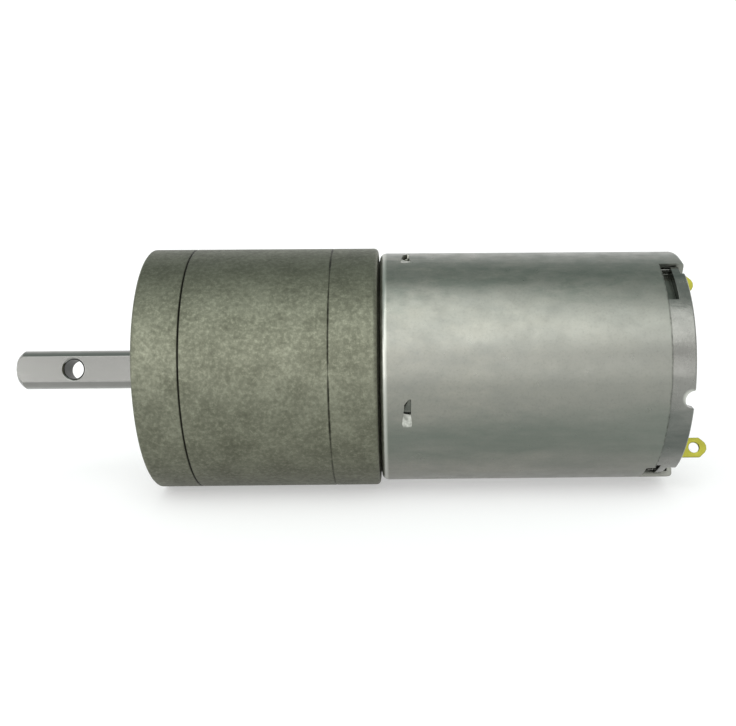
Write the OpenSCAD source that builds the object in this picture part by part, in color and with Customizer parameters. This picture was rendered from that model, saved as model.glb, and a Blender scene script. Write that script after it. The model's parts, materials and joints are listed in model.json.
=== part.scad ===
// Geared DC motor: a round permanent-magnet motor behind a two-stage planetary gearbox.
// The axis of rotation is X. The output shaft points to -X and the motor stands towards +X.
// The origin is the middle of the front mounting face. Angles are measured about X from the
// side that faces -Y, positive towards +Z. All sizes are in millimetres.

/* [Gearbox] */
// Outside diameter of the gearbox
gearbox_d = 37; // [36.8:0.1:38]
// Length of the front flange
front_len = 6.6; // [6.6:0.1:8]
// Length of the ring gear section
ring_len = 20.9; // [20.9:0.1:22]
// Length of the rear flange
rear_len = 6.9; // [6.9:0.1:8]
// Diameter of the locating boss on the front face
boss_d = 22; // [18:0.5:23]
// Height of the locating boss
boss_h = 1.5; // [1:0.1:2.5]
// Bolt circle diameter of the mounting holes
mount_pcd = 28; // [27.6:0.1:29]
// Tapping diameter of the M3 mounting holes
mount_hole_d = 2.5; // [2.2:0.1:3]
// Depth of the mounting holes
mount_hole_depth = 5; // [3:0.5:5.5]
// Width of the groove where two sections meet
joint_groove = 0.15; // [0.05:0.05:0.3]

/* [Output shaft] */
// Diameter of the output shaft
shaft_d = 6; // [5.9:0.1:6.1]
// Length of the shaft in front of the mounting face
shaft_reach = 22; // [19:0.5:30]
// Distance across the two flats
flats_across = 4.5; // [4.2:0.1:5.4]
// Length of the flats
flats_len = 18.6; // [16:0.2:19]
// Angle of the flats when the motor is at rest
flats_angle = 13; // [0:1:45]
// Diameter of the cross hole
cross_hole_d = 3; // [2:0.1:3.2]
// Distance of the cross hole from the tip
cross_hole_from_tip = 8.8; // [6:0.1:12]

/* [Gears] */
// Gear module, the same in both stages
gear_module = 0.5; // [0.49:0.01:0.5]
// Teeth on each sun gear
sun_teeth = 18; // [18:18:18]
// Teeth on each planet gear
planet_teeth = 18; // [18:18:18]
// Amount taken off the width of each tooth for backlash
tooth_thinning = 0.04; // [0.04:0.01:0.08]
// Radial clearance between a planet gear and its pin
pin_clearance = 0.05; // [0.03:0.01:0.08]

/* [Motor] */
// Outside diameter of the motor can
can_d = 35.5; // [35.4:0.1:36]
// Length of the can, from its front face to its rear rim
can_len = 41.45; // [41.45:0.05:44]
// Thickness of the can's wall
can_wall = 1.1; // [1:0.05:1.2]
// Length of the end cap behind the can's rim
cap_len = 3.6; // [3.4:0.1:4]
// Diameter of the motor shaft
motor_shaft_d = 3.175; // [3:0.025:3.2]
// Radial air gap between the armature and the magnets
air_gap = 0.5; // [0.3:0.05:0.7]
// Reach of the terminals behind the end cap
terminal_reach = 5.5; // [4:0.5:8]
// Radial running clearance of the plain bushes
bush_clearance = 0.02; // [0.01:0.01:0.05]

/* [Hidden] */
$fn = 96;
fine = 24;

// Gear train
ring_teeth = sun_teeth + 2 * planet_teeth;
carrier_r = gear_module * (sun_teeth + planet_teeth) / 2;
pressure_angle = 20;
stage_angles = [0, 120, 240];
pin_r = 1.5;
pin_hole_r = pin_r + pin_clearance;

// Positions along the axis
gearbox_r = gearbox_d / 2;
ring_x = front_len;
rear_x = ring_x + ring_len;
gearbox_end = rear_x + rear_len;
spigot_len = 1.2;
spigot_r = 14.5;
spigot_bore_r = 13.1;
spigot_gap = 0.06;
pad_len = 0.25;
can_x = gearbox_end + pad_len;
can_rim = can_x + can_len;
cap_rim = can_rim + cap_len;
terminal_tip = cap_rim + terminal_reach;

// Output shaft and its ball bearing
shaft_r = shaft_d / 2;
shaft_tip = -shaft_reach;
cross_hole_x = shaft_tip + cross_hole_from_tip;
bearing_x = 0.8;
bearing_len = 5;
bearing_r = 6.5;
bearing_end = bearing_x + bearing_len;
ball_r = 0.95;
ball_circle_r = 4.75;
ball_gap = 0.05;
ball_count = 7;
carrier2_x = bearing_end + 1.2;
carrier2_end = carrier2_x + 3.4;
carrier_plate_r = 12.6;
planet2_x = carrier2_end + 0.3;
planet2_len = 6.4;
planet2_end = planet2_x + planet2_len;

// First stage, next to the motor
carrier1_x = planet2_end + 0.6;
carrier1_end = carrier1_x + 2.4;
planet1_x = carrier1_end + 0.3;
planet1_len = 5.4;
planet1_end = planet1_x + planet1_len;
pinion_x = planet1_x + 0.1;
pinion_len = 5.8;
sun_hub_r = 3.4;
washer_len = 0.8;

// Gearbox screws, M2, and motor screws, M3
long_screw_circle_r = 16.2;
long_screw_r = 1;
long_screw_hole_r = 1.1;
long_screw_head_r = 1.8;
motor_screw_circle_r = 12.5;
motor_screw_r = 1.5;
motor_screw_hole_r = 1.6;

// Motor
can_r = can_d / 2;
can_bore_r = can_r - can_wall;
can_front = 1.5;
can_inside_x = can_x + can_front;
can_boss_r = 6;
can_boss_x = can_x - 4.25;
bush_r = 4.6;
motor_shaft_r = motor_shaft_d / 2;
bush_bore_r = motor_shaft_r + bush_clearance;
motor_shaft_x = pinion_x + 0.2;
motor_shaft_end = cap_rim + 0.8;
lamination_x = can_x + 7.85;
lamination_len = 24;
lamination_end = lamination_x + lamination_len;
insulator_len = 0.7;
coil_end_len = 2.2;
magnet_in_r = 13.2;
magnet_out_r = can_bore_r - 0.05;
magnet_x = lamination_x - 2.8;
magnet_len = 30;
armature_r = magnet_in_r - air_gap;
pole_angle = 33;
magnet_half_angle = 54;
slot_count = 5;
tooth_half_w = 2.2;
commutator_x = lamination_end + 4;
commutator_len = 4.8;
commutator_r = 5.2;
commutator_hub_r = 3.9;

// Rear end of the motor
tab_half_angle = 22;
tab_angles = [90, -90];
tab_len = cap_len + 0.25;
cap_r = can_r - 0.45;
cap_bore_r = 15.7;
cap_plate_x = cap_rim - 2.7;
cap_plate_len = 1.3;
cap_spigot_len = 2.6;
cap_boss_r = 5.4;
cap_boss_x = cap_plate_x - 0.9;
cap_boss_end = cap_rim + 1.2;
lance_x = can_x + 4.05;
lance_angles = [-12, 78, 168, 258];
terminal_angles = [-63, 117];
terminal_r = 13.5;
terminal_w = 3.1;
terminal_t = 0.5;
holder_x = cap_plate_x - 1.4;
brush_x = commutator_x + 1.2;
brush_w = 3.2;
big = 60;

// Turns something built along +Z so that it runs along +X from x, with its X as Y and its Y as Z.
module along_x(x = 0) {
    translate([x, 0, 0]) rotate([90, 0, 90]) children();
}

// A solid of revolution about the axis, from points given as [radius, x].
module turned(points) {
    along_x() rotate_extrude() polygon(points);
}

// A flat outline, drawn looking along the axis, made into a solid from x0 to x1.
module section(x0, x1) {
    along_x(x0) linear_extrude(x1 - x0) children();
}

// Carries something that faces -Y to the stated angle about the axis.
module at_angle(a) {
    rotate([-a, 0, 0]) children();
}

// The direction in a section of the stated angle about the axis.
function dir(a) = [-cos(a), sin(a)];

// A round plug along the axis.
module plug(x0, x1, r) {
    along_x(x0) cylinder(h = x1 - x0, r = r);
}

// A tube along the axis, with bevelled outer edges.
module tube(x0, x1, r_out, r_in, bevel = 0) {
    turned([[r_in, x0], [r_out - bevel, x0], [r_out, x0 + bevel],
        [r_out, x1 - bevel], [r_out - bevel, x1], [r_in, x1]]);
}

// The outline of a slice of a ring between two radii, from angle a0 to angle a1.
module ring_slice(r_in, r_out, a0, a1) {
    rest = 360 - (a1 - a0);
    difference() {
        circle(r = r_out);
        circle(r = r_in);
        polygon(concat([[0, 0]], [for (i = [0:6]) big * dir(a1 + rest * i / 6)]));
    }
}

// A quarter-round edge as [radius, x] points, centred on [r, x], between two angles.
function edge_round(r, x, size, a0, a1, steps = 5) =
    [for (i = [0:steps]) let (a = a0 + (a1 - a0) * i / steps)
        [r + size * cos(a), x + size * sin(a)]];

// Involute gears
function involute(a) = tan(a) * 180 / PI - a;

// Half the angle that a tooth takes up at radius r.
function tooth_half_angle(r, teeth, extra) =
    let (pitch_r = gear_module * teeth / 2, base_r = pitch_r * cos(pressure_angle))
    90 / teeth + extra / pitch_r * 90 / PI + involute(pressure_angle)
        - involute(acos(min(1, base_r / r)));

// The outline of a gear with its first tooth centred on the section's first axis.
module gear_outline(teeth, tip_r, root_r, extra, steps = 5) {
    base_r = gear_module * teeth / 2 * cos(pressure_angle);
    foot_r = max(base_r, root_r);
    flank = [for (i = [0:steps]) foot_r + (tip_r - foot_r) * i / steps];
    polygon([for (t = [0:teeth - 1]) let (c = 360 * t / teeth)
        each concat(
            root_r < foot_r
                ? [let (a = c - tooth_half_angle(foot_r, teeth, extra))
                    root_r * [cos(a), sin(a)]]
                : [],
            [for (i = [0:steps]) let (a = c - tooth_half_angle(flank[i], teeth, extra))
                flank[i] * [cos(a), sin(a)]],
            [for (i = [steps:-1:0]) let (a = c + tooth_half_angle(flank[i], teeth, extra))
                flank[i] * [cos(a), sin(a)]],
            root_r < foot_r
                ? [let (a = c + tooth_half_angle(foot_r, teeth, extra))
                    root_r * [cos(a), sin(a)]]
                : [])]);
}

// The outline of an outside gear of the set.
module outside_gear(teeth) {
    pitch_r = gear_module * teeth / 2;
    gear_outline(teeth, pitch_r + gear_module, pitch_r - 1.25 * gear_module, -tooth_thinning);
}

module sun_outline() {
    outside_gear(sun_teeth);
}

// Gearbox housing

module front_flange() {
    seat_lip_r = 5.2;
    color("dimgray") difference() {
        turned([[seat_lip_r, -boss_h], [boss_d / 2 - 0.3, -boss_h],
            [boss_d / 2, -boss_h + 0.3], [boss_d / 2, 0], [gearbox_r - 0.25, 0],
            [gearbox_r, 0.25], [gearbox_r, ring_x - joint_groove],
            [gearbox_r - joint_groove, ring_x], [spigot_r, ring_x],
            [spigot_r, ring_x + spigot_len], [spigot_bore_r, ring_x + spigot_len],
            [spigot_bore_r, ring_x], [bearing_r, ring_x], [bearing_r, bearing_x],
            [seat_lip_r, bearing_x]]);
        for (a = [45:90:315]) at_angle(a) translate([0, -mount_pcd / 2, 0]) {
            plug(-1, mount_hole_depth, mount_hole_d / 2);
            turned([[0, -1], [mount_hole_d / 2 + 1.3, -1], [mount_hole_d / 2, 0.3], [0, 0.3]]);
        }
        for (a = [0:90:270]) at_angle(a) translate([0, -long_screw_circle_r, 0]) {
            plug(-1, 2.4, long_screw_head_r + 0.06);
            plug(2.3, ring_x + 1, long_screw_hole_r);
        }
    }
}

module ring_gear() {
    pitch_r = gear_module * ring_teeth / 2;
    depth = spigot_len + spigot_gap;
    counterbore_r = spigot_r + spigot_gap;
    color("gray") difference() {
        tube(ring_x, rear_x, gearbox_r, counterbore_r, joint_groove);
        long_screw_holes(ring_x - 1, rear_x + 1, long_screw_hole_r);
    }
    color("gray") section(ring_x + depth, rear_x - depth) difference() {
        circle(r = counterbore_r + 0.2);
        rotate(180 / ring_teeth)
            gear_outline(ring_teeth, pitch_r + 1.25 * gear_module,
                pitch_r - 0.8 * gear_module, tooth_thinning);
    }
}

module long_screw_holes(x0, x1, r) {
    for (a = [0:90:270]) at_angle(a) translate([0, -long_screw_circle_r, 0]) plug(x0, x1, r);
}

module rear_flange() {
    neck_r = 5.6;
    boss_bore_r = can_boss_r + 0.05;
    boss_bore_x = can_boss_x - 0.2;
    color("dimgray") difference() {
        turned(concat([[neck_r, rear_x], [spigot_bore_r, rear_x],
            [spigot_bore_r, rear_x - spigot_len], [spigot_r, rear_x - spigot_len],
            [spigot_r, rear_x], [gearbox_r - joint_groove, rear_x],
            [gearbox_r, rear_x + joint_groove]],
            edge_round(gearbox_r - 0.65, gearbox_end - 0.65, 0.65, 0, 90),
            [[gearbox_r - 1.9, gearbox_end], [gearbox_r - 2, can_x], [boss_bore_r, can_x],
            [boss_bore_r, boss_bore_x], [neck_r, boss_bore_x]]));
        long_screw_holes(rear_x - 1, rear_x + 5, long_screw_r);
        for (a = [20, 200]) at_angle(a) translate([0, -motor_screw_circle_r, 0]) {
            plug(rear_x - 1, can_x + 1, motor_screw_hole_r);
            turned([[0, rear_x - 1], [4.1, rear_x - 1], [motor_screw_hole_r, rear_x + 1.5],
                [0, rear_x + 1.5]]);
        }
    }
}

// Socket-head screws that hold the three gearbox sections together.
module gearbox_screws() {
    head_x = 0.4;
    head_end = 2.4;
    color("silver") for (a = [0:90:270])
        at_angle(a) translate([0, -long_screw_circle_r, 0]) difference() {
            turned([[0, head_x], [long_screw_head_r - 0.2, head_x],
                [long_screw_head_r, head_x + 0.2], [long_screw_head_r, head_end],
                [long_screw_r, head_end], [long_screw_r, rear_x + 3.6],
                [long_screw_r - 0.4, rear_x + 4], [0, rear_x + 4]]);
            along_x(head_x - 1) cylinder(h = 2, r = 0.87, $fn = 6);
        }
}

// Countersunk screws that hold the motor to the rear flange.
module motor_screws() {
    head_x = rear_x + 0.1;
    color("silver") for (a = [20, 200])
        at_angle(a) translate([0, -motor_screw_circle_r, 0]) difference() {
            turned([[0, head_x], [2.85, head_x], [motor_screw_r, head_x + 1.35],
                [motor_screw_r, can_inside_x + 0.2], [0, can_inside_x + 0.2]]);
            for (t = [0, 90]) along_x(head_x - 1) rotate(t)
                translate([-1.5, -0.3, 0]) cube([3, 0.6, 1.9]);
        }
}

module thrust_washer() {
    color("silver") tube(rear_x - washer_len, rear_x, spigot_bore_r - 0.2, 5.8, 0.1);
}

// Output bearing

// A race with its ball groove cut in it.
module race(r_out, r_in) {
    difference() {
        tube(bearing_x, bearing_end, r_out, r_in);
        ball_groove();
    }
}

module ball_groove() {
    along_x(bearing_x + bearing_len / 2)
        rotate_extrude() translate([ball_circle_r, 0]) circle(r = ball_r + ball_gap, $fn = fine);
}

module bearing_outer_race() {
    color("silver") race(bearing_r, ball_circle_r + 0.6);
}

module bearing_inner_race() {
    color("silver") race(ball_circle_r - 0.6, shaft_r);
}

// The balls, each held in its own pocket of the cage.
module bearing_balls() {
    color("gainsboro") for (i = [0:ball_count - 1]) at_ball(i) sphere(r = ball_r, $fn = fine);
}

module at_ball(i) {
    at_angle(360 * i / ball_count) translate([bearing_x + bearing_len / 2, -ball_circle_r, 0])
        children();
}

module bearing_cage() {
    half = 1.4;
    middle = bearing_x + bearing_len / 2;
    color("peru") difference() {
        tube(middle - half, middle + half, ball_circle_r + 0.4, ball_circle_r - 0.4);
        for (i = [0:ball_count - 1]) at_ball(i) rotate([90, 0, 0])
            cylinder(h = 2, r = ball_r + ball_gap, center = true, $fn = fine);
    }
}

// Thin side plates pressed into the outer race.
module bearing_shields() {
    color("silver") for (x = [bearing_x + 0.2, bearing_end - 0.45])
        tube(x, x + 0.25, ball_circle_r + 0.6, ball_circle_r - 0.4);
}

// Output shaft and second stage

module output_shaft() {
    flat_r = flats_across / 2;
    mouth_r = cross_hole_d / 2 + 0.3;
    ring_groove_x = 0;
    ring_groove_len = 0.5;
    // The corner of the tip is a zone of a ball whose centre lies on the axis.
    corner_len = 0.9;
    tip_face_r = shaft_r - 0.8;
    ball_centre = (shaft_r * shaft_r - tip_face_r * tip_face_r + corner_len * corner_len) / (2 * corner_len);
    corner_ball_r = sqrt(ball_centre * ball_centre + tip_face_r * tip_face_r);
    color("silver") difference() {
        intersection() {
            turned([[0, shaft_tip], [shaft_r, shaft_tip],
                [shaft_r, ring_groove_x], [shaft_r - 0.4, ring_groove_x],
                [shaft_r - 0.4, ring_groove_x + ring_groove_len],
                [shaft_r, ring_groove_x + ring_groove_len], [shaft_r, carrier2_end],
                [0, carrier2_end]]);
            union() {
                translate([shaft_tip + ball_centre, 0, 0]) sphere(r = corner_ball_r, $fn = fine);
                plug(shaft_tip + ball_centre, carrier2_end + 1, shaft_d);
            }
        }
        for (a = [flats_angle, flats_angle + 180]) at_angle(a) {
            translate([shaft_tip - 1, -flat_r - big, -big / 2]) cube([flats_len + 1, big, big]);
            translate([cross_hole_x, -flat_r, 0]) rotate([90, 0, 0])
                cylinder(h = 0.6, r1 = mouth_r - 0.3, r2 = mouth_r + 0.3, center = true, $fn = fine);
        }
        at_angle(flats_angle) translate([cross_hole_x, 0, 0]) rotate([90, 0, 0])
            cylinder(h = shaft_d + 2, r = cross_hole_d / 2, center = true, $fn = fine);
    }
}

// An open ring in the shaft's groove, in front of the bearing.
module shaft_retaining_ring() {
    color("dimgray") section(0.05, 0.45)
        ring_slice(shaft_r - 0.4, shaft_r + 1.1, 40, 320);
}

module bearing_spacer() {
    color("silver") tube(bearing_end, carrier2_x, shaft_r + 1.1, shaft_r);
}

// The outline of a carrier plate, scalloped between the planets.
module carrier_outline(bore_r) {
    difference() {
        circle(r = carrier_plate_r);
        circle(r = bore_r);
        for (a = stage_angles) rotate(a) {
            translate([carrier_r, 0]) circle(r = pin_r, $fn = fine);
            rotate(60) translate([carrier_plate_r + 2.4, 0]) circle(r = 6);
        }
    }
}

module output_carrier() {
    color("darkgray") section(carrier2_x, carrier2_end) carrier_outline(shaft_r);
}

// Planet pins pressed into a carrier plate.
module pins(x0, x1) {
    color("gainsboro") for (a = stage_angles) rotate([a, 0, 0]) translate([0, carrier_r, 0])
        turned([[0, x0], [pin_r, x0], [pin_r, x1 - 0.2], [pin_r - 0.2, x1], [0, x1]]);
}

module stage2_pins() {
    pins(carrier2_x, planet2_end + 0.15);
}

// A planet gear on its pin. Every planet has a tooth space towards the sun and the ring.
module planet(a, x0, x1) {
    color("slategray") rotate([a, 0, 0]) translate([0, carrier_r, 0])
        section(x0, x1) difference() {
            rotate(180 / planet_teeth) outside_gear(planet_teeth);
            circle(r = pin_hole_r);
        }
}

module stage2_planet_1() {
    planet(stage_angles[0], planet2_x, planet2_end);
}

module stage2_planet_2() {
    planet(stage_angles[1], planet2_x, planet2_end);
}

module stage2_planet_3() {
    planet(stage_angles[2], planet2_x, planet2_end);
}

// First stage

module stage2_sun_gear() {
    color("slategray") section(planet2_x + 0.3, carrier1_x) sun_outline();
    color("slategray") plug(carrier1_x, carrier1_end, sun_hub_r);
}

module stage1_carrier() {
    color("darkgray") section(carrier1_x, carrier1_end) carrier_outline(sun_hub_r);
}

module stage1_pins() {
    pins(carrier1_x, planet1_end + 0.2);
}

module stage1_planet_1() {
    planet(stage_angles[0], planet1_x, planet1_end);
}

module stage1_planet_2() {
    planet(stage_angles[1], planet1_x, planet1_end);
}

module stage1_planet_3() {
    planet(stage_angles[2], planet1_x, planet1_end);
}

module motor_pinion() {
    color("goldenrod") section(pinion_x, pinion_x + pinion_len) difference() {
        sun_outline();
        circle(r = motor_shaft_r);
    }
}

// Armature

module motor_shaft() {
    color("silver") turned([[0, motor_shaft_x], [motor_shaft_r - 0.3, motor_shaft_x],
        [motor_shaft_r, motor_shaft_x + 0.3], [motor_shaft_r, motor_shaft_end - 0.3],
        [motor_shaft_r - 0.3, motor_shaft_end], [0, motor_shaft_end]]);
}

// The sleeve in front of the laminations and the washer behind the commutator.
module shaft_washers() {
    color("khaki") tube(can_inside_x + 1.2, lamination_x - insulator_len, 3, motor_shaft_r);
    color("khaki") tube(commutator_x + commutator_len + 0.3,
        commutator_x + commutator_len + 0.6, 3, motor_shaft_r);
}

// The outline of one winding slot between two teeth, grown inwards by inset.
module slot_outline(inset) {
    inner = 5.6 - inset;
    outer = armature_r - 1.5 + inset;
    reach = tooth_half_w - inset;
    function half(r) = 180 / slot_count - asin(reach / r);
    polygon([inner * [cos(half(inner)), -sin(half(inner))],
        for (i = [-4:4]) let (a = half(outer) * i / 4) outer * [cos(a), sin(a)],
        inner * [cos(half(inner)), sin(half(inner))]]);
}

// The outline of the laminations. The insulators at each end are the same with narrower slots.
module core_outline(r, inset) {
    difference() {
        circle(r = r);
        circle(r = motor_shaft_r);
        for (i = [0:slot_count - 1]) rotate(360 * (i + 0.5) / slot_count) {
            slot_outline(inset);
            translate([armature_r - 2, -0.8 - inset]) square([3, 1.6 + 2 * inset]);
        }
    }
}

module laminations() {
    color("slategray") section(lamination_x, lamination_end) core_outline(armature_r, 0);
}

module end_insulators() {
    color("firebrick") {
        section(lamination_x - insulator_len, lamination_x)
            core_outline(armature_r - 0.2, -0.1);
        section(lamination_end, lamination_end + insulator_len)
            core_outline(armature_r - 0.2, -0.1);
    }
}

// One coil round each tooth: two sides in the slots, joined across both ends of the core.
module windings() {
    side_in = 6.6;
    side_out = 10.6;
    inner_w = tooth_half_w + 0.15;
    side_w = 1.15;
    start = lamination_x - insulator_len - 0.05;
    finish = lamination_end + insulator_len + 0.05;
    color("sienna") for (i = [0:slot_count - 1]) rotate([360 * i / slot_count, 0, 0])
        difference() {
            section(start - coil_end_len, finish + coil_end_len)
                translate([side_in, -inner_w - side_w])
                    square([side_out - side_in, 2 * (inner_w + side_w)]);
            section(start, finish) translate([side_in - 1, -inner_w])
                square([side_out - side_in + 2, 2 * inner_w]);
        }
}

module commutator_hub() {
    color("saddlebrown") tube(commutator_x - 0.6, commutator_x + commutator_len + 0.3,
        commutator_hub_r, motor_shaft_r);
}

// Copper bars, each with a riser that takes the ends of two coils.
module commutator_segments() {
    half = 180 / slot_count - 3;
    color("peru") for (i = [0:slot_count - 1]) {
        middle = 360 * i / slot_count;
        section(commutator_x, commutator_x + commutator_len)
            ring_slice(commutator_hub_r, commutator_r, middle - half, middle + half);
        section(commutator_x, commutator_x + 0.7)
            ring_slice(commutator_r - 0.4, commutator_r + 1.3, middle - 8, middle + 8);
    }
}

module varistor_ring() {
    color("darkslategray") tube(commutator_x - 0.9, commutator_x - 0.05, 7, 4.3);
}

// Motor housing

// The deep-drawn can, with its two locking tabs folded over the end cap.
module motor_can() {
    tab_end = can_rim + tab_len;
    fold_x = tab_end - 0.8;
    fold_r = 15.4;
    tab_r = can_r - 0.85;
    boss_bore_r = bush_r;
    color("lightgray") difference() {
        turned(concat([[2.4, can_boss_x], [can_boss_r - 0.3, can_boss_x],
            [can_boss_r, can_boss_x + 0.3], [can_boss_r, can_x]],
            edge_round(can_r - 1, can_x + 1, 1, -90, 0),
            edge_round(can_r - 0.5, tab_end - 0.5, 0.5, 0, 90, 3),
            [[fold_r, tab_end], [fold_r, fold_x], [tab_r, fold_x], [tab_r, can_rim + 0.3],
            [can_bore_r, can_rim], [can_bore_r, can_inside_x], [boss_bore_r, can_inside_x],
            [boss_bore_r, can_boss_x + 1.2], [2.4, can_boss_x + 1.2]]));
        for (a = [0, 180]) section(can_rim, cap_rim + 5)
            ring_slice(fold_r - 2, can_r + 2, a - 90 + tab_half_angle, a + 90 - tab_half_angle);
        for (a = tab_angles) section(can_rim - 1.3, can_rim + 1)
            ring_slice(can_bore_r - 1, can_r + 1, a + tab_half_angle,
                a + tab_half_angle + 16.5);
        for (a = lance_angles) section(lance_x - 0.6, lance_x + 0.6)
            ring_slice(can_bore_r - 1, can_r + 1, a - 0.5, a + 7);
        for (a = [20, 200]) at_angle(a) translate([0, -motor_screw_circle_r, 0])
            plug(can_x - 1, can_inside_x + 1, motor_screw_r);
    }
}

module front_bush() {
    color("tan") tube(can_boss_x + 1.2, can_inside_x + 0.7, bush_r, bush_bore_r);
}

// A curved ferrite magnet.
module magnet(a) {
    color("darkslategray") section(magnet_x, magnet_x + magnet_len)
        ring_slice(magnet_in_r, magnet_out_r, a - magnet_half_angle, a + magnet_half_angle);
}

module magnet_1() {
    magnet(pole_angle);
}

module magnet_2() {
    magnet(pole_angle + 180);
}

// Bowed steel springs that spread the magnets apart.
module magnet_springs() {
    color("silver") for (a = [pole_angle + 90, pole_angle - 90])
        section(magnet_x + 3, magnet_x + magnet_len - 3)
            ring_slice(magnet_out_r - 1.1, magnet_out_r - 0.5, a - 34.5, a + 34.5);
}

// The steel end cap. Its face is sunk behind the rim, and the rim is cut away for the tabs.
module end_cap() {
    plate_end = cap_plate_x + cap_plate_len;
    spigot_x = can_rim - cap_spigot_len;
    cap_spigot_r = can_bore_r - 0.05;
    recess_r = cap_bore_r + 0.3;
    notch_r = 1.4;
    color("silver") difference() {
        turned([[2.2, cap_boss_end], [cap_boss_r - 0.3, cap_boss_end],
            [cap_boss_r, cap_boss_end - 0.3], [cap_boss_r, plate_end],
            [cap_bore_r - 0.2, plate_end], [cap_bore_r, cap_rim], [cap_r - 0.2, cap_rim],
            [cap_r, cap_rim - 0.2], [cap_r, can_rim], [cap_spigot_r, can_rim],
            [cap_spigot_r, spigot_x], [cap_bore_r, spigot_x], [cap_bore_r, cap_plate_x],
            [cap_boss_r, cap_plate_x], [cap_boss_r, cap_boss_x], [3.9, cap_boss_x],
            [3.9, cap_boss_end - 0.7], [2.2, cap_boss_end - 0.7]]);
        for (a = tab_angles) {
            // Seat of the folded tab
            section(cap_rim - 0.7, cap_rim + 1)
                ring_slice(cap_bore_r - 1.5, cap_r + 1, a - 29, a + 29);
            // Side wall set back under the tab
            section(can_rim - 0.2, cap_rim + 1)
                ring_slice(can_r - 0.95, cap_r + 1, a - tab_half_angle - 1,
                    a + tab_half_angle + 1);
            // Recess on one side of the tab, and the lower shoulder beyond the other
            section(can_rim, cap_rim - 1.9)
                ring_slice(recess_r, cap_r + 1, a - 47, a - tab_half_angle - 0.5);
            section(can_rim - 1.3, can_rim + 0.9)
                ring_slice(recess_r, cap_r + 1, a + tab_half_angle + 0.5,
                    a + tab_half_angle + 16.5);
            section(cap_rim - 1.6, cap_rim + 1)
                ring_slice(cap_bore_r - 1.5, cap_r + 1, a + 20, a + 35);
        }
        // Finger notches in the rim
        for (a = [-7, 173]) at_angle(a) translate([cap_rim, -cap_bore_r, 0])
            rotate([90, 0, 0]) cylinder(h = 4, r = notch_r, center = true, $fn = fine);
        for (a = terminal_angles) section(cap_plate_x - 1, plate_end + 1)
            rotate(180 - a) translate([terminal_r - 2.2, -1.2]) square([4.4, 2.4]);
        // Air slots in the face
        for (a = [27, 207]) section(cap_plate_x - 1, plate_end + 1)
            ring_slice(8, 12.5, a - 22, a + 22);
    }
}

module rear_bush() {
    color("tan") tube(cap_boss_x + 0.1, cap_boss_end - 0.7, 3.9, bush_bore_r);
}

// Brushes and terminals, turned so that the terminals lie along the section's second axis

module in_brush_frame(side) {
    rotate([90 - terminal_angles[side], 0, 0]) children();
}

// The insulating plate that carries the brush arms.
module brush_holder() {
    color("dimgray") difference() {
        union() {
            tube(holder_x, cap_plate_x - 0.05, cap_bore_r - 0.1, 6.6);
            for (side = [0, 1]) in_brush_frame(side) section(brush_x, holder_x + 0.2)
                translate([9.3, 6.5]) square([2.4, 4.2]);
        }
        for (side = [0, 1]) in_brush_frame(side) section(holder_x - 1, cap_plate_x + 1)
            translate([-terminal_t / 2 - 0.05, terminal_r - terminal_w / 2 - 0.05])
                square([terminal_t + 0.1, terminal_w + 0.1]);
    }
}

module brush(side) {
    color("black") in_brush_frame(side) section(brush_x + 0.2, brush_x + brush_w - 0.2)
        translate([commutator_r + 0.05, -1.6]) square([8.6 - commutator_r, 3.2]);
}

module brush_1() {
    brush(0);
}

module brush_2() {
    brush(1);
}

// A bent leaf from the terminal to the back of the brush.
module brush_arm(side) {
    leaf = 0.3;
    arm_x = 8.7;
    foot_y = terminal_r - 1.3;
    color("goldenrod") in_brush_frame(side) section(brush_x, brush_x + brush_w)
        polygon([[arm_x, -2], [arm_x + leaf, -2], [arm_x + leaf, foot_y],
            [terminal_t / 2 + 0.02, foot_y], [terminal_t / 2 + 0.02, foot_y - leaf],
            [arm_x, foot_y - leaf]]);
}

module brush_arm_1() {
    brush_arm(0);
}

module brush_arm_2() {
    brush_arm(1);
}

// A brass blade with bevelled corners and an eye for the wire.
module terminal(side) {
    half = terminal_w / 2;
    bevel = 1.1;
    color("gold") in_brush_frame(side) translate([0, terminal_t / 2, terminal_r])
        rotate([90, 0, 0]) linear_extrude(terminal_t) difference() {
            polygon([[brush_x, -half], [terminal_tip - bevel, -half],
                [terminal_tip - 0.25, -half + 0.75], [terminal_tip, -0.3],
                [terminal_tip, 0.3], [terminal_tip - 0.25, half - 0.75],
                [terminal_tip - bevel, half], [brush_x, half]]);
            translate([terminal_tip - 1.95, 0]) circle(r = 0.83, $fn = fine);
        }
}

module terminal_1() {
    terminal(0);
}

module terminal_2() {
    terminal(1);
}

// Insulating blocks that line the terminal slots of the end cap.
module terminal_insulators() {
    color("ivory") for (side = [0, 1]) in_brush_frame(side)
        section(cap_plate_x, cap_plate_x + 2) difference() {
            translate([-1.1, terminal_r - 2.1]) square([2.2, 4.2]);
            translate([-terminal_t / 2, terminal_r - terminal_w / 2])
                square([terminal_t, terminal_w]);
        }
}

front_flange();
ring_gear();
rear_flange();
gearbox_screws();
motor_screws();
thrust_washer();
bearing_outer_race();
bearing_inner_race();
bearing_balls();
bearing_cage();
bearing_shields();
output_shaft();
shaft_retaining_ring();
bearing_spacer();
output_carrier();
stage2_pins();
stage2_planet_1();
stage2_planet_2();
stage2_planet_3();
stage2_sun_gear();
stage1_carrier();
stage1_pins();
stage1_planet_1();
stage1_planet_2();
stage1_planet_3();
motor_pinion();
motor_shaft();
shaft_washers();
laminations();
end_insulators();
windings();
commutator_hub();
commutator_segments();
varistor_ring();
motor_can();
front_bush();
magnet_1();
magnet_2();
magnet_springs();
end_cap();
rear_bush();
brush_holder();
brush_1();
brush_2();
brush_arm_1();
brush_arm_2();
terminal_1();
terminal_2();
terminal_insulators();
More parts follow.
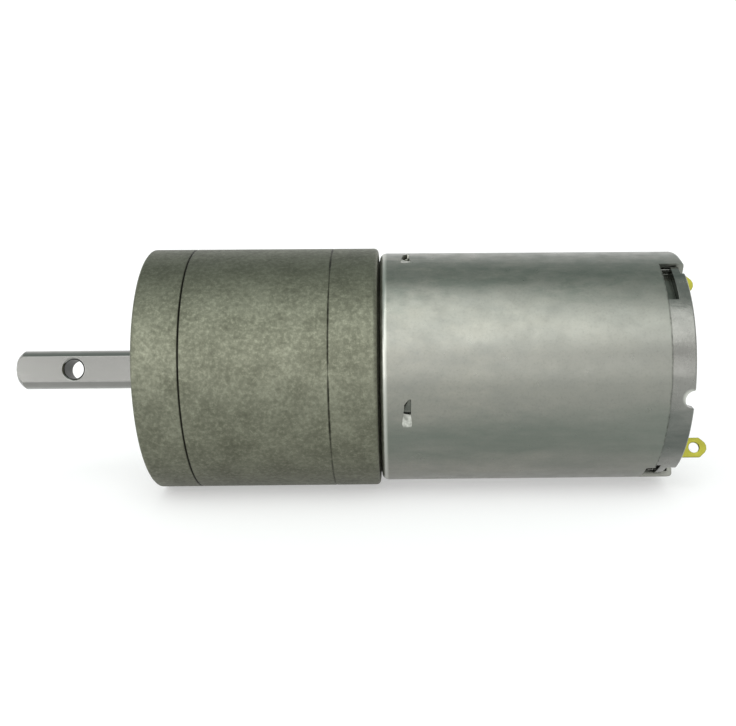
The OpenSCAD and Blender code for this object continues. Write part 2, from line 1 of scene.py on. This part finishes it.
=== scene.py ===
"""A geared DC motor: a powder-metal planetary gearbox in front of a brushed motor in a plated can.

Everything is in metres in the row's frame: +X runs along the axis towards the motor, +Z is up.
An angle about the axis is 0 towards -Y and grows towards +Z.
"""
import json
import math

import bmesh
import bpy
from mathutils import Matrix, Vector

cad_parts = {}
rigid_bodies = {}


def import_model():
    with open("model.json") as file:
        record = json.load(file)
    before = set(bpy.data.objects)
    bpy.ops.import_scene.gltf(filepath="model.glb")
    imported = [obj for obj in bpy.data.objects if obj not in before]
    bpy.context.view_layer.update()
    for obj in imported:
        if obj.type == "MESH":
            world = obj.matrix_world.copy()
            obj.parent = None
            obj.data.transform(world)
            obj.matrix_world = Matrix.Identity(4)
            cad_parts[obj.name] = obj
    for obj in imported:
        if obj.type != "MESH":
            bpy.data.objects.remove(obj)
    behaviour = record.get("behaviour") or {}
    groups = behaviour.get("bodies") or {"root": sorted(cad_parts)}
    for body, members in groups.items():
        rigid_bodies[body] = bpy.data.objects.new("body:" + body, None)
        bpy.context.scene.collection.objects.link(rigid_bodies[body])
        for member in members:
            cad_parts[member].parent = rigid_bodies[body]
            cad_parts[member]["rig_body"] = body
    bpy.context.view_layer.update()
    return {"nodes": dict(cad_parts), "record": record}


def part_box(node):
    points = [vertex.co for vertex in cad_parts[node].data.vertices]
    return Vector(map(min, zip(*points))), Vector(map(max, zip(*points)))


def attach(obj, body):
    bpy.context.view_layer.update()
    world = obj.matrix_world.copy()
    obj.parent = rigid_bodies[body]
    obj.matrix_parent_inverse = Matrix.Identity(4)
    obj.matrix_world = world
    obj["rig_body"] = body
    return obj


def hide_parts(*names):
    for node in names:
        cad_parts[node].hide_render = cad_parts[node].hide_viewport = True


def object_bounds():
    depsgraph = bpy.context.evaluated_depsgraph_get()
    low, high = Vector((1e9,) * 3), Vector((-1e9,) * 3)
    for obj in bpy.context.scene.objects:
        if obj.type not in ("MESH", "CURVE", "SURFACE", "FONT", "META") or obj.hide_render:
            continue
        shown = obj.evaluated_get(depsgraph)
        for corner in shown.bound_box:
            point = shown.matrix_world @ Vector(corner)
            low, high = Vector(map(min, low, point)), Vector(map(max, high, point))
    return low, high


MM = 0.001

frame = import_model()
nodes = frame["nodes"]


# Places and sizes on the motor, from the imported nodes where they give them. Turns and reaches
# about the axis are in degrees, except the hole's. A seam is a place and how unbroken the painted shade
# along it is.

CAN_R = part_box("motor_can")[1].y
CAN_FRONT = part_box("rear_flange")[1].x
SHAFT_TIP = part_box("output_shaft")[0].x
GEARBOX_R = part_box("ring_gear")[1].y
TIGHT_R = GEARBOX_R - 0.05 * MM
SEAMS = ((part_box("ring_gear")[0].x, 0.9), (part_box("ring_gear")[1].x, 0.1))
# Height of the middle of the painted shade band low on the plated steel
LOW_SHADE_Z = -8 * MM
CAP_WALL_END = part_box("motor_can")[1].x - 2.1 * MM
CAN_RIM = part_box("motor_can")[1].x - 3.85 * MM
CAP_R = CAN_R - 0.45 * MM
# A painted highlight beside the cap's notch: its place and radius
NOTCH_GLINT = ((CAN_RIM + 3.1 * MM, -0.995 * CAP_R, -0.105 * CAP_R), 1.45 * MM)
HOLE_AT = (SHAFT_TIP + 8.8 * MM, 0, 0)
HOLE_TURN = math.radians(13)
HOLE_R = 1.5 * MM
LANCE_X = CAN_FRONT + 4.0 * MM
LANCE_ANGLES = (-12, 78, 168, 258)
DENT_X = LANCE_X - 0.12 * MM
LANCE_HALF = 0.82 * MM
LANCE_REACH = 7.5
LANCE_DEPTH = 0.5 * MM
LANCE_STEPS = 8
LANCE_NARROWING = 0.22 * MM
LANCE_TAPER = 0.7 * MM
SLOT_SPAN = 7
SLOT_FRONT_EDGE = (LANCE_X - 0.7 * MM, LANCE_X - 0.4 * MM)
SLOT_REAR_EDGE = (LANCE_X + 0.5 * MM, LANCE_X + 0.75 * MM)
TONGUE_HALF = 0.9 * MM
TONGUE_INSIDE = 1 * MM
TONGUE_OUTSIDE = 0.7 * MM
JOINT_WIDTH = 0.02 * MM
JOINT_DEPTH = 0.4 * MM
CAN_EDGE = 0.06 * MM
CAN_EDGE_ANGLE = 38
EDGE_ANGLE = 30
EDGE_SEGMENTS = 2
SOFT_EDGES = {"output_shaft": 0.07, "end_cap": 0.07, "front_flange": 0.06, "ring_gear": 0.03,
              "rear_flange": 0.06, "terminal_1": 0.08, "terminal_2": 0.08,
              "terminal_insulators": 0.1, "gearbox_screws": 0.05}


# Camera, floor and light

# The camera's place, turn in degrees, lens in millimetres, and shift of the frame
CAMERA_AT = (37.85 * MM, -152.23 * MM, 26.84 * MM)
CAMERA_TURN = (76.157, 0.316, -0.969)
CAMERA_LENS = 47.576
CAMERA_SHIFT = (-0.06675, 0.09429)
FLOOR_SIDE = 60.0
FLOOR_GLOW = 0.42
FLOOR_GREY = (0.6, 0.6, 0.6)
# Each light's name, power, width in degrees, height and turn to the side in degrees
LIGHTS = (("key_light", 1.2, 52, 51, -4),
          ("front_light", 0.42, 44, 0, 0),
          ("side_light", 1.0, 50, 4, -46),
          ("top_light", 0.17, 22, 84, 0))
# The sky's colour at two heights, from 0 at the horizon to 1 overhead
SKY = ((0.42, (1.1, 1.1, 1.1)), (0.85, (0.46, 0.53, 0.5)))


def make_camera():
    data = bpy.data.cameras.new("camera")
    data.sensor_width = 36
    data.lens = CAMERA_LENS
    data.shift_x, data.shift_y = CAMERA_SHIFT
    data.clip_start = 1 * MM
    data.clip_end = 20
    data.dof.use_dof = False
    camera = bpy.data.objects.new("camera", data)
    camera.location = CAMERA_AT
    camera.rotation_euler = [math.radians(turn) for turn in CAMERA_TURN]
    bpy.context.scene.collection.objects.link(camera)
    bpy.context.scene.camera = camera


def make_floor():
    """A plain pale floor under the lowest point of the gearbox."""
    low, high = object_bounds()
    mesh = bpy.data.meshes.new("floor")
    half = FLOOR_SIDE / 2
    corners = [(x, y, low.z) for x, y in ((-half, -half), (half, -half), (half, half), (-half, half))]
    mesh.from_pydata(corners, [], [(0, 1, 2, 3)])
    floor = bpy.data.objects.new("floor", mesh)
    bpy.context.scene.collection.objects.link(floor)
    shader = Shader("floor_paint", FLOOR_GREY, metallic=0, roughness=0.9)
    shader.surface.inputs["Emission Color"].default_value = (1, 1, 1, 1)
    shader.surface.inputs["Emission Strength"].default_value = FLOOR_GLOW
    mesh.materials.append(shader.material)


def make_lights():
    """Broad soft lights in front, above and towards the shaft's end, and a sky darker overhead."""
    for name, power, width, height, side in LIGHTS:
        data = bpy.data.lights.new(name, "SUN")
        data.energy = power
        data.angle = math.radians(width)
        light = bpy.data.objects.new(name, data)
        light.rotation_euler = (math.radians(90 - height), 0, math.radians(side))
        bpy.context.scene.collection.objects.link(light)
    world = bpy.data.worlds.new("studio")
    world.use_nodes = True
    tree = world.node_tree
    sky = tree.nodes["Background"]
    place = tree.nodes.new("ShaderNodeTexCoord")
    split = tree.nodes.new("ShaderNodeSeparateXYZ")
    ramp = tree.nodes.new("ShaderNodeValToRGB")
    tree.links.new(place.outputs["Generated"], split.inputs[0])
    tree.links.new(split.outputs["Z"], ramp.inputs[0])
    tree.links.new(ramp.outputs["Color"], sky.inputs["Color"])
    for stop, (height, colour) in zip(ramp.color_ramp.elements, SKY):
        stop.position = height
        stop.color = (*colour, 1)
    bpy.context.scene.world = world
    bpy.context.scene.view_settings.view_transform = "Standard"


# Materials

# Painted shade on the gearbox iron towards its top and bottom
TOP_AND_BOTTOM_SHADE = (0.045, 0.047, 0.036)
# Painted shade in the gearbox's joint grooves
SEAM_SHADE = (0.012, 0.012, 0.008)
RIM_DIRT = (0.05, 0.055, 0.045)
# Painted shade on the wall of the shaft's drilled hole
HOLE_SHADE = (0.05, 0.05, 0.045)
# Painted highlight colour on the plated steel
HIGHLIGHT_STEEL = (0.6, 0.61, 0.56)
# Painted shade in the slots and recesses of the plated steel, in two tones
RECESS_SHADE_TONES = (0.055, 0.063, 0.055), (0.15, 0.155, 0.135)


def scaled(colour, factor):
    return tuple(part * factor for part in colour)


class Shader:
    """One material and its node tree, built a node at a time."""

    def __init__(self, name, colour, metallic, roughness):
        self.material = bpy.data.materials.new(name)
        self.material.use_nodes = True
        self.tree = self.material.node_tree
        self.surface = self.tree.nodes["Principled BSDF"]
        self.surface.inputs["Base Color"].default_value = (*colour, 1)
        self.surface.inputs["Metallic"].default_value = metallic
        self.surface.inputs["Roughness"].default_value = roughness
        self.place = self.node("TexCoord").outputs["Object"]

    def node(self, kind, inputs=(), **settings):
        made = self.tree.nodes.new("ShaderNode" + kind)
        for name, value in settings.items():
            setattr(made, name, value)
        for key, value in dict(inputs).items():
            self.feed(made.inputs[key], value)
        return made

    def feed(self, socket, value):
        if isinstance(value, bpy.types.NodeSocket):
            self.tree.links.new(value, socket)
        elif isinstance(value, tuple) and len(value) == 3 and socket.type == "RGBA":
            socket.default_value = (*value, 1)
        else:
            socket.default_value = value

    def stretched(self, stretch):
        return self.node("Mapping", {"Vector": self.place, "Scale": stretch}).outputs[0]

    def noise(self, size, detail=3.0, rough=0.5, stretch=(1, 1, 1)):
        """Cloudy noise whose features are about that size, in metres."""
        made = self.node("TexNoise", {"Vector": self.stretched(stretch), "Scale": 1 / size,
                                      "Detail": detail, "Roughness": rough})
        return made.outputs["Fac"]

    def span(self, value, low, high, to_low, to_high):
        """The value's range from low to high, taken to another range and held at its ends."""
        return self.node("MapRange", {"Value": value, "From Min": low, "From Max": high,
                                      "To Min": to_low, "To Max": to_high}).outputs["Result"]

    def mix(self, amount, first, second):
        made = self.node("Mix", data_type="RGBA")
        self.feed(made.inputs["Factor"], amount)
        self.feed(made.inputs[6], first)
        self.feed(made.inputs[7], second)
        return made.outputs[2]

    def maths(self, first, second, operation="ADD"):
        """Two values put together by a Math node: a sum unless another operation is named."""
        return self.node("Math", {0: first, 1: second}, operation=operation).outputs[0]

    def bump(self, height, depth):
        made = self.node("Bump", {"Height": height, "Strength": 1.0, "Distance": depth})
        last = self.surface.inputs["Normal"]
        if last.is_linked:
            self.feed(made.inputs["Normal"], last.links[0].from_socket)
        self.feed(last, made.outputs[0])

    def paint(self, colour, roughness):
        self.feed(self.surface.inputs["Base Color"], colour)
        self.feed(self.surface.inputs["Roughness"], roughness)


def powder_metal(name, dark, light, seams=()):
    """Pressed and sintered iron: grey-olive and granular, in cloudy patches, with painted shade darkening
    it towards its top and bottom and along the joint lines.
    """
    shader = Shader(name, light, metallic=1, roughness=0.5)
    patches = shader.span(shader.noise(5 * MM, 6, 0.65), 0.34, 0.66, 0, 1)
    colour = shader.mix(patches, dark, light)
    grain = shader.noise(0.62 * MM, 5, 0.8)
    colour = shader.mix(shader.span(grain, 0.5, 0.74, 0, 0.5), colour, scaled(light, 1.8))
    colour = shader.mix(shader.span(grain, 0.26, 0.5, 0.42, 0), colour, scaled(dark, 0.5))
    rough = shader.span(grain, 0.3, 0.7, 0.58, 0.44)
    place = shader.node("SeparateXYZ", {0: shader.place})
    along = place.outputs["X"]
    height = shader.maths(place.outputs["Z"], 0, "ABSOLUTE")
    # Painted shade: darker towards the top and bottom, where the light falls off round the drum
    colour = shader.mix(shader.span(height, 6 * MM, 16 * MM, 0, 0.3), colour, TOP_AND_BOTTOM_SHADE)
    for seam, strength in seams:
        # Painted shade in each joint's groove, broken up by noise where it is faint
        away = shader.maths(shader.maths(along, seam, "SUBTRACT"), 0, "ABSOLUTE")
        broken = shader.span(shader.noise(2.4 * MM, 3), 0.35, 0.6, strength, 1)
        joint_shade_and_dirt = shader.maths(shader.span(away, 0.06 * MM, 0.22 * MM, 0.9, 0), broken, "MULTIPLY")
        colour = shader.mix(joint_shade_and_dirt, colour, SEAM_SHADE)
    shader.paint(colour, rough)
    shader.bump(shader.noise(0.6 * MM, 3, 0.65), 0.06 * MM)
    return shader.material


def plated_sheet(name, dark, light, rough, band, inner, glints=()):
    """Nickel-plated sheet steel: mottled, and faintly streaked along the draw.

    It is darkened low on its sides and in blotches along its top by painted shade, and given painted
    highlights at its front corner and in its dents. band is the painted shade's colour, inner the depth
    below the can's surface where a wall is darkened by painted shade, and each glint is a place and a
    radius with a painted highlight too.
    """
    shader = Shader(name, light, metallic=1, roughness=rough)
    mottle = shader.span(shader.noise(5 * MM, 8, 0.72, (0.6, 1, 1)), 0.36, 0.66, 0, 1)
    colour = shader.mix(mottle, dark, light)
    place = shader.node("SeparateXYZ", {0: shader.place})
    rear = shader.span(place.outputs["X"], CAN_FRONT + 12 * MM, CAN_FRONT + 34 * MM, 0, 0.55)
    colour = shader.mix(rear, colour, dark)
    drift = shader.span(shader.noise(4 * MM, 5, 0.65, (0.35, 1, 1)), 0.3, 0.7, -2.2 * MM, 2.2 * MM)
    height = shader.maths(place.outputs["Z"], drift)
    # Painted shade: a dark band low on each side, standing in for the dark surroundings reflected there
    away = shader.maths(shader.maths(height, LOW_SHADE_Z, "SUBTRACT"), 0, "ABSOLUTE")
    low_shade = shader.span(away, 0.3 * MM, 5.5 * MM, 0.9, 0)
    colour = shader.mix(low_shade, colour, band)
    # Painted shade: darker blotches along the top, where the light falls off
    upper = shader.span(height, 11 * MM, 14 * MM, 0, 1)
    top_shade_blotches = shader.span(shader.noise(2.5 * MM, 6, 0.75, (0.5, 1, 1)), 0.42, 0.6, 0, 0.7)
    colour = shader.mix(shader.maths(upper, top_shade_blotches, "MULTIPLY"), colour, band)
    streaks = shader.span(shader.noise(1.2 * MM, 4, 0.6, (0.08, 1, 1)), 0.35, 0.7, 0, 0.25)
    colour = shader.mix(streaks, colour, dark)
    fine = shader.noise(0.35 * MM, 4, 0.7)
    colour = shader.mix(shader.span(fine, 0.5, 0.75, 0, 0.3), colour, scaled(dark, 0.6))
    across = shader.node("VectorMath", {0: shader.place, 1: (0, 1, 1)}, operation="MULTIPLY")
    radius = shader.node("VectorMath", {0: across.outputs[0]}, operation="LENGTH").outputs["Value"]
    depth = shader.maths(CAN_R, radius, "SUBTRACT")
    # Painted highlight: the can's dents brightened where their floors would catch the light
    painted_highlight = shader.span(depth, 0.02 * MM, 0.1 * MM, 0, 0.8)
    patchy = shader.span(shader.noise(0.8 * MM, 2), 0.38, 0.62, 0.25, 1)
    front = shader.span(place.outputs["X"], CAN_FRONT + 10 * MM, CAN_FRONT + 11 * MM, 1, 0)
    painted_highlight = shader.maths(shader.maths(painted_highlight, front, "MULTIPLY"), patchy, "MULTIPLY")
    # Painted highlight: a bright strip round the can's front corner
    corner = shader.span(place.outputs["X"], CAN_FRONT + 0.8 * MM, CAN_FRONT + 1.15 * MM, 0.6, 0)
    painted_highlight = shader.maths(painted_highlight, corner, "MAXIMUM")
    # Painted highlight: a bright spot round each glint
    for spot, size in glints:
        reach = shader.node("VectorMath", {0: shader.place, 1: spot}, operation="DISTANCE")
        glint = shader.span(reach.outputs["Value"], size * 0.6, size, 0.95, 0)
        painted_highlight = shader.maths(painted_highlight, glint, "MAXIMUM")
    colour = shader.mix(painted_highlight, colour, HIGHLIGHT_STEEL)
    rim = shader.maths(shader.maths(place.outputs["X"], CAN_RIM, "SUBTRACT"), 0, "ABSOLUTE")
    from_middle = shader.maths(place.outputs["Z"], 0, "ABSOLUTE")
    off_tab = shader.span(from_middle, 15.8 * MM, 16.2 * MM, 0.75, 0)
    near_rim = shader.span(rim, 0.08 * MM, 0.26 * MM, 1, 0)
    joint_shade_and_dirt = shader.maths(near_rim, shader.maths(off_tab, patchy, "MULTIPLY"), "MULTIPLY")
    colour = shader.mix(joint_shade_and_dirt, colour, RIM_DIRT)
    # Painted shade: walls deeper than inner, in the slots and the cap's windows, darkened where shade
    # falls
    hollow = shader.span(depth, inner, inner + 0.15 * MM, 0, 1)
    before = shader.span(place.outputs["X"], CAP_WALL_END - 0.1 * MM, CAP_WALL_END, 1, 0)
    recess_shade = shader.mix(mottle, *RECESS_SHADE_TONES)
    colour = shader.mix(shader.maths(hollow, before, "MULTIPLY"), colour, recess_shade)
    haze = shader.noise(2.5 * MM, 4, 0.6)
    shader.paint(colour, shader.span(haze, 0.3, 0.7, rough - 0.06, rough + 0.08))
    shader.bump(fine, 0.008 * MM)
    shader.bump(shader.noise(1.6 * MM, 4, 0.6, (0.5, 1, 1)), 0.014 * MM)
    return shader.material


def machined(name, colour, rough, lay=(3, 1, 1), depth=0.01, stain=0.8):
    """Metal with a turned, ground or drawn finish: fine lines across the direction that lay shortens."""
    shader = Shader(name, colour, metallic=1, roughness=rough)
    lines = shader.noise(0.35 * MM, 5, 0.65, lay)
    soft = shader.span(shader.noise(3 * MM, 4, 0.6), 0.3, 0.7, 0, 1)
    tone = shader.mix(soft, scaled(colour, stain), colour)
    tone = shader.mix(shader.span(lines, 0.35, 0.65, 0, 0.3), tone, scaled(colour, 0.6))
    shader.paint(tone, shader.span(soft, 0, 1, rough + 0.06, rough - 0.04))
    shader.bump(lines, depth * MM)
    return shader.material


def ground_shaft(name, colour):
    """Steel ground round and smooth, with the duller wall of a drilled hole across it, darkened by
    painted shade.
    """
    shader = Shader(name, colour, metallic=1, roughness=0.2)
    lines = shader.noise(0.3 * MM, 4, 0.6, (6, 0.4, 0.4))
    soft = shader.span(shader.noise(2.5 * MM, 4, 0.6), 0.3, 0.7, 0, 1)
    tone = shader.mix(soft, scaled(colour, 0.9), colour)
    local = shader.node("Mapping", {"Vector": shader.place, "Location": tuple(-Vector(HOLE_AT))})
    turned = shader.node("VectorRotate", {"Vector": local.outputs[0], "Angle": HOLE_TURN},
                         rotation_type="X_AXIS")
    flat = shader.node("VectorMath", {0: turned.outputs[0], 1: (1, 0, 1)}, operation="MULTIPLY")
    away = shader.node("VectorMath", {0: flat.outputs[0]}, operation="LENGTH").outputs["Value"]
    # Painted shade: the wall of the drilled hole darkened
    inside = shader.span(away, HOLE_R + 0.02 * MM, HOLE_R + 0.1 * MM, 1, 0)
    dull = shader.maths(inside, 0.25, "MULTIPLY")
    rough = shader.maths(shader.span(soft, 0, 1, 0.24, 0.16), dull)
    shader.paint(shader.mix(inside, tone, HOLE_SHADE), rough)
    shader.bump(lines, 0.004 * MM)
    return shader.material


def moulded(name, colour, rough, grain=0.25, depth=0.02):
    """Plastic, fibre, ferrite or carbon: an even colour with a fine grain and faint cloudiness."""
    shader = Shader(name, colour, metallic=0, roughness=rough)
    cloud = shader.span(shader.noise(2.2 * MM, 4), 0.3, 0.7, 0, 1)
    tone = shader.mix(cloud, scaled(colour, 0.75), colour)
    fine = shader.noise(grain * MM, 3, 0.6)
    paler = tuple(part ** 0.75 for part in colour)
    tone = shader.mix(shader.span(fine, 0.4, 0.75, 0, 0.35), tone, paler)
    shader.paint(tone, shader.span(fine, 0.3, 0.7, rough - 0.08, rough + 0.1))
    shader.bump(fine, depth * MM)
    return shader.material


def wound_wire(name):
    """Enamelled copper wire, whose turns are suggested by slanting bands."""
    shader = Shader(name, (0.5, 0.17, 0.05), metallic=1, roughness=0.25)
    turns = shader.node("TexWave", {"Vector": shader.place, "Scale": 1 / (1.2 * MM), "Distortion": 0.4,
                                    "Detail": 1.0}, bands_direction="DIAGONAL").outputs["Fac"]
    tone = shader.mix(turns, (0.2, 0.05, 0.015), (0.62, 0.24, 0.08))
    shader.paint(tone, shader.span(turns, 0, 1, 0.4, 0.2))
    shader.surface.inputs["Coat Weight"].default_value = 0.6
    shader.bump(turns, 0.1 * MM)
    return shader.material


def layered_steel(name):
    """Stamped sheets stacked along the axis."""
    shader = Shader(name, (0.3, 0.3, 0.32), metallic=1, roughness=0.4)
    along = shader.node("SeparateXYZ", {0: shader.place}).outputs["X"]
    sheet = shader.maths(along, 0.5 * MM, "PINGPONG")
    gap = shader.span(sheet, 0.0, 0.12 * MM, 1, 0)
    tone = shader.mix(shader.noise(1.5 * MM, 4), (0.2, 0.2, 0.22), (0.36, 0.36, 0.38))
    shader.paint(shader.mix(gap, tone, (0.04, 0.03, 0.03)), shader.span(gap, 0, 1, 0.38, 0.7))
    shader.bump(shader.span(gap, 0, 1, 1, 0), 0.04 * MM)
    return shader.material


def make_materials():
    """One finished material for each of the record's slots."""
    return {
        "sintered_steel": powder_metal("powder_metal", (0.119, 0.123, 0.09), (0.184, 0.19, 0.143), SEAMS),
        # Each plated steel: its tones, roughness, painted shade colour, depth of painted recess shade and
        # painted highlight spots
        "plated_can": plated_sheet("plated_can_steel", (0.215, 0.22, 0.197), (0.265, 0.264, 0.23), 0.33,
                                   (0.145, 0.166, 0.143), 0.55 * MM),
        "plated_cap": plated_sheet("plated_cap_steel", (0.2, 0.2, 0.185), (0.29, 0.29, 0.272), 0.22,
                                   (0.085, 0.1, 0.09), 1.2 * MM, [NOTCH_GLINT]),
        "ground_shaft": ground_shaft("ground_steel", (0.245, 0.245, 0.232)),
        "screw_steel": machined("zinc_plated_steel", (0.5, 0.5, 0.49), 0.3, (1, 1, 1)),
        "washer_steel": machined("washer_steel", (0.55, 0.55, 0.53), 0.3, (5, 1, 1)),
        "bearing_steel": machined("bearing_steel", (0.62, 0.62, 0.62), 0.12, (5, 0.5, 0.5), 0.003, 0.9),
        "cage_brass": machined("cage_brass", (0.62, 0.44, 0.17), 0.28),
        "spring_steel": machined("blackened_spring_steel", (0.1, 0.1, 0.105), 0.35, (1, 4, 1)),
        "carrier_steel": powder_metal("carrier_powder_metal", (0.2, 0.2, 0.2), (0.27, 0.27, 0.265)),
        "gear_steel": machined("hobbed_gear_steel", (0.38, 0.38, 0.38), 0.3, (4, 1, 1), 0.015),
        "pinion_brass": machined("pinion_brass", (0.66, 0.5, 0.22), 0.25, (4, 1, 1)),
        "fibre_washer": moulded("fibre_washer", (0.5, 0.36, 0.16), 0.7),
        "lamination_steel": layered_steel("lamination_steel"),
        "red_fibre": moulded("red_fibre", (0.35, 0.035, 0.02), 0.5),
        "enamelled_copper": wound_wire("enamelled_copper"),
        "phenolic": moulded("phenolic", (0.11, 0.05, 0.025), 0.45, 0.3),
        "commutator_copper": machined("commutator_copper", (0.72, 0.36, 0.2), 0.25, (5, 1, 1)),
        "ferrite": moulded("ferrite", (0.03, 0.03, 0.033), 0.6, 0.4, 0.04),
        "sintered_bronze": machined("sintered_bronze", (0.42, 0.27, 0.12), 0.5, (1, 1, 1), 0.03),
        "brush_carbon": moulded("brush_carbon", (0.02, 0.02, 0.021), 0.5, 0.3, 0.03),
        "spring_bronze": machined("spring_bronze", (0.6, 0.42, 0.2), 0.28, (1, 3, 1)),
        "terminal_brass": machined("terminal_brass", (0.32, 0.31, 0.048), 0.36, (1, 1, 4)),
        "white_insulator": moulded("white_insulator", (0.72, 0.7, 0.64), 0.45),
    }


def dress_nodes(materials):
    """Gives every CAD node the finished material of its slot."""
    for part in frame["record"]["subparts"]:
        slots = nodes[part["node"]].material_slots
        for slot in slots:
            slot.material = materials[part["material_slot"]]


# Pieces that stand for CAD nodes


def slot_of(node):
    return next(part["material_slot"] for part in frame["record"]["subparts"] if part["node"] == node)


def copied(node):
    """A clean copy of a CAD node's mesh: one vertex a corner, and flat faces whole again."""
    data = bpy.data.meshes.new(node + "_finished")
    mesh = bmesh.new()
    mesh.from_mesh(nodes[node].data)
    bmesh.ops.remove_doubles(mesh, verts=mesh.verts, dist=1e-7)
    bmesh.ops.dissolve_limit(mesh, angle_limit=math.radians(0.3), verts=mesh.verts, edges=mesh.edges)
    for face in mesh.faces:
        face.smooth = True
    mesh.to_mesh(data)
    mesh.free()
    for name in ("custom_normal", "sharp_edge", "sharp_face"):
        if name in data.attributes:
            data.attributes.remove(data.attributes[name])
    piece = bpy.data.objects.new(node + "_finished", data)
    bpy.context.scene.collection.objects.link(piece)
    return piece


def settle(piece):
    """Turns the piece's modifiers into its mesh."""
    bpy.context.view_layer.update()
    ready = piece.evaluated_get(bpy.context.evaluated_depsgraph_get())
    data = bpy.data.meshes.new_from_object(ready)
    piece.modifiers.clear()
    piece.data = data


def soften(piece, width, angle=EDGE_ANGLE):
    """Rounds the sharp edges, so that they catch the light."""
    bevel = piece.modifiers.new("bevel", "BEVEL")
    bevel.width = width
    bevel.segments = EDGE_SEGMENTS
    bevel.limit_method = "ANGLE"
    bevel.angle_limit = math.radians(angle)
    bevel.use_clamp_overlap = False
    smooth = piece.modifiers.new("normals", "WEIGHTED_NORMAL")
    smooth.mode = "FACE_AREA"
    smooth.weight = 80
    smooth.keep_sharp = False


def stand_for(piece, node):
    """The piece takes a CAD node's place, body and finish, and keeps within its box."""
    low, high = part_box(node)
    for vertex in piece.data.vertices:
        vertex.co = [min(max(spot, least), most) for spot, least, most in zip(vertex.co, low, high)]
    piece.data.materials.clear()
    piece.data.materials.append(materials[slot_of(node)])
    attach(piece, nodes[node]["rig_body"])
    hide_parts(node)


def around(x, radius, angle):
    """The place at x, that far from the axis, at an angle in degrees about it."""
    turn = math.radians(angle)
    return Vector((x, -radius * math.cos(turn), radius * math.sin(turn)))


def blocks(name, grids):
    """An object of one closed block for each grid of low and high places."""
    mesh = bmesh.new()
    for grid in grids:
        close_block(mesh, [[[mesh.verts.new(place) for place in pair] for pair in row] for row in grid])
    bmesh.ops.recalc_face_normals(mesh, faces=mesh.faces)
    data = bpy.data.meshes.new(name)
    mesh.to_mesh(data)
    mesh.free()
    made = bpy.data.objects.new(name, data)
    bpy.context.scene.collection.objects.link(made)
    return made


def close_block(mesh, grid):
    """Skins a block whose grid holds a low and a high vertex at each place."""
    last = len(grid) - 1
    for i in range(last):
        for j in range(last):
            for level in (0, 1):
                mesh.faces.new([grid[i][j][level], grid[i + 1][j][level],
                                grid[i + 1][j + 1][level], grid[i][j + 1][level]])
    rim = [grid[i][0] for i in range(last)] + [grid[last][j] for j in range(last)]
    rim += [grid[i][last] for i in range(last, 0, -1)] + [grid[0][j] for j in range(last, 0, -1)]
    for here, there in zip(rim, rim[1:] + rim[:1]):
        mesh.faces.new([here[0], there[0], there[1], here[1]])


def steps():
    """The places along or across a block, from 0 to 1."""
    return [i / LANCE_STEPS for i in range(LANCE_STEPS + 1)]


def dent(slot_angle):
    """A lumpy ramp that leads from the can's surface down to the end of a sheared slot."""
    grid = []
    for along in steps():
        angle = slot_angle - LANCE_REACH + (LANCE_REACH + 1) * along
        depth = LANCE_DEPTH * along ** 0.7
        half = LANCE_HALF * (1 - 0.4 * along) * min(1, 0.6 + 2 * along)
        row = []
        for step in steps():
            across = 2 * step - 1
            x = DENT_X + half * across
            crown = 0.3 * depth * across * across + 0.1 * MM * math.cos(10 * along + 2 * across)
            row.append((around(x, CAN_R - depth + crown * along, angle),
                        around(x, CAN_R + 0.5 * MM, angle)))
        grid.append(row)
    return grid


def tongue(slot_angle):
    """The strip that closes a sheared slot, sunk in the wall just short of its inside."""
    grid = []
    for along in steps():
        angle = slot_angle - 1.5 + 9 * along
        outside = TONGUE_OUTSIDE + 0.1 * MM * along
        row = []
        for step in steps():
            x = LANCE_X + TONGUE_HALF * (2 * step - 1)
            row.append((around(x, CAN_R - TONGUE_INSIDE, angle), around(x, CAN_R - outside, angle)))
        grid.append(row)
    return grid


def taper_slots(piece):
    """Draws each sheared slot to a point at its far end, and narrows it a little."""
    for vertex in piece.data.vertices:
        spot = vertex.co
        angle = math.degrees(math.atan2(spot.z, -spot.y))
        for slot_angle in LANCE_ANGLES:
            turn = (angle - slot_angle - SLOT_SPAN + 180) % 360 - 180
            if abs(turn) < 1 and SLOT_FRONT_EDGE[0] < spot.x < SLOT_FRONT_EDGE[1]:
                spot.x += LANCE_TAPER
                break
            if -SLOT_SPAN - 2 < turn < 1 and SLOT_REAR_EDGE[0] < spot.x < SLOT_REAR_EDGE[1]:
                spot.x -= LANCE_NARROWING
                break


def finish_can():
    """The can, with its sheared slots closed by strips and dented beside them."""
    piece = copied("motor_can")
    taper_slots(piece)
    tools = []
    for name, shape, operation in (("tongues", tongue, "UNION"), ("dents", dent, "DIFFERENCE")):
        tool = blocks(name, [shape(slot_angle) for slot_angle in LANCE_ANGLES])
        step = piece.modifiers.new(name, "BOOLEAN")
        step.operation = operation
        step.solver = "EXACT"
        step.object = tool
        tools.append(tool)
    settle(piece)
    for tool in tools:
        bpy.data.objects.remove(tool)
    soften(piece, CAN_EDGE, CAN_EDGE_ANGLE)
    settle(piece)
    stand_for(piece, "motor_can")


def close_joint(piece, joint_x):
    """Presses the groove at a joint line nearly shut."""
    for vertex in piece.data.vertices:
        spot = vertex.co
        radius = math.hypot(spot.y, spot.z)
        if abs(spot.x - joint_x) < JOINT_WIDTH and GEARBOX_R - JOINT_DEPTH < radius < GEARBOX_R:
            spot.y *= TIGHT_R / radius
            spot.z *= TIGHT_R / radius


def finish_part(node, width):
    """A CAD node's finished copy, with its edges rounded."""
    piece = copied(node)
    if node in ("ring_gear", "rear_flange"):
        close_joint(piece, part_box("ring_gear")[1].x)
    soften(piece, width)
    settle(piece)
    stand_for(piece, node)


make_camera()
make_floor()
make_lights()
materials = make_materials()
dress_nodes(materials)
finish_can()
for node, width in SOFT_EDGES.items():
    finish_part(node, width * MM)
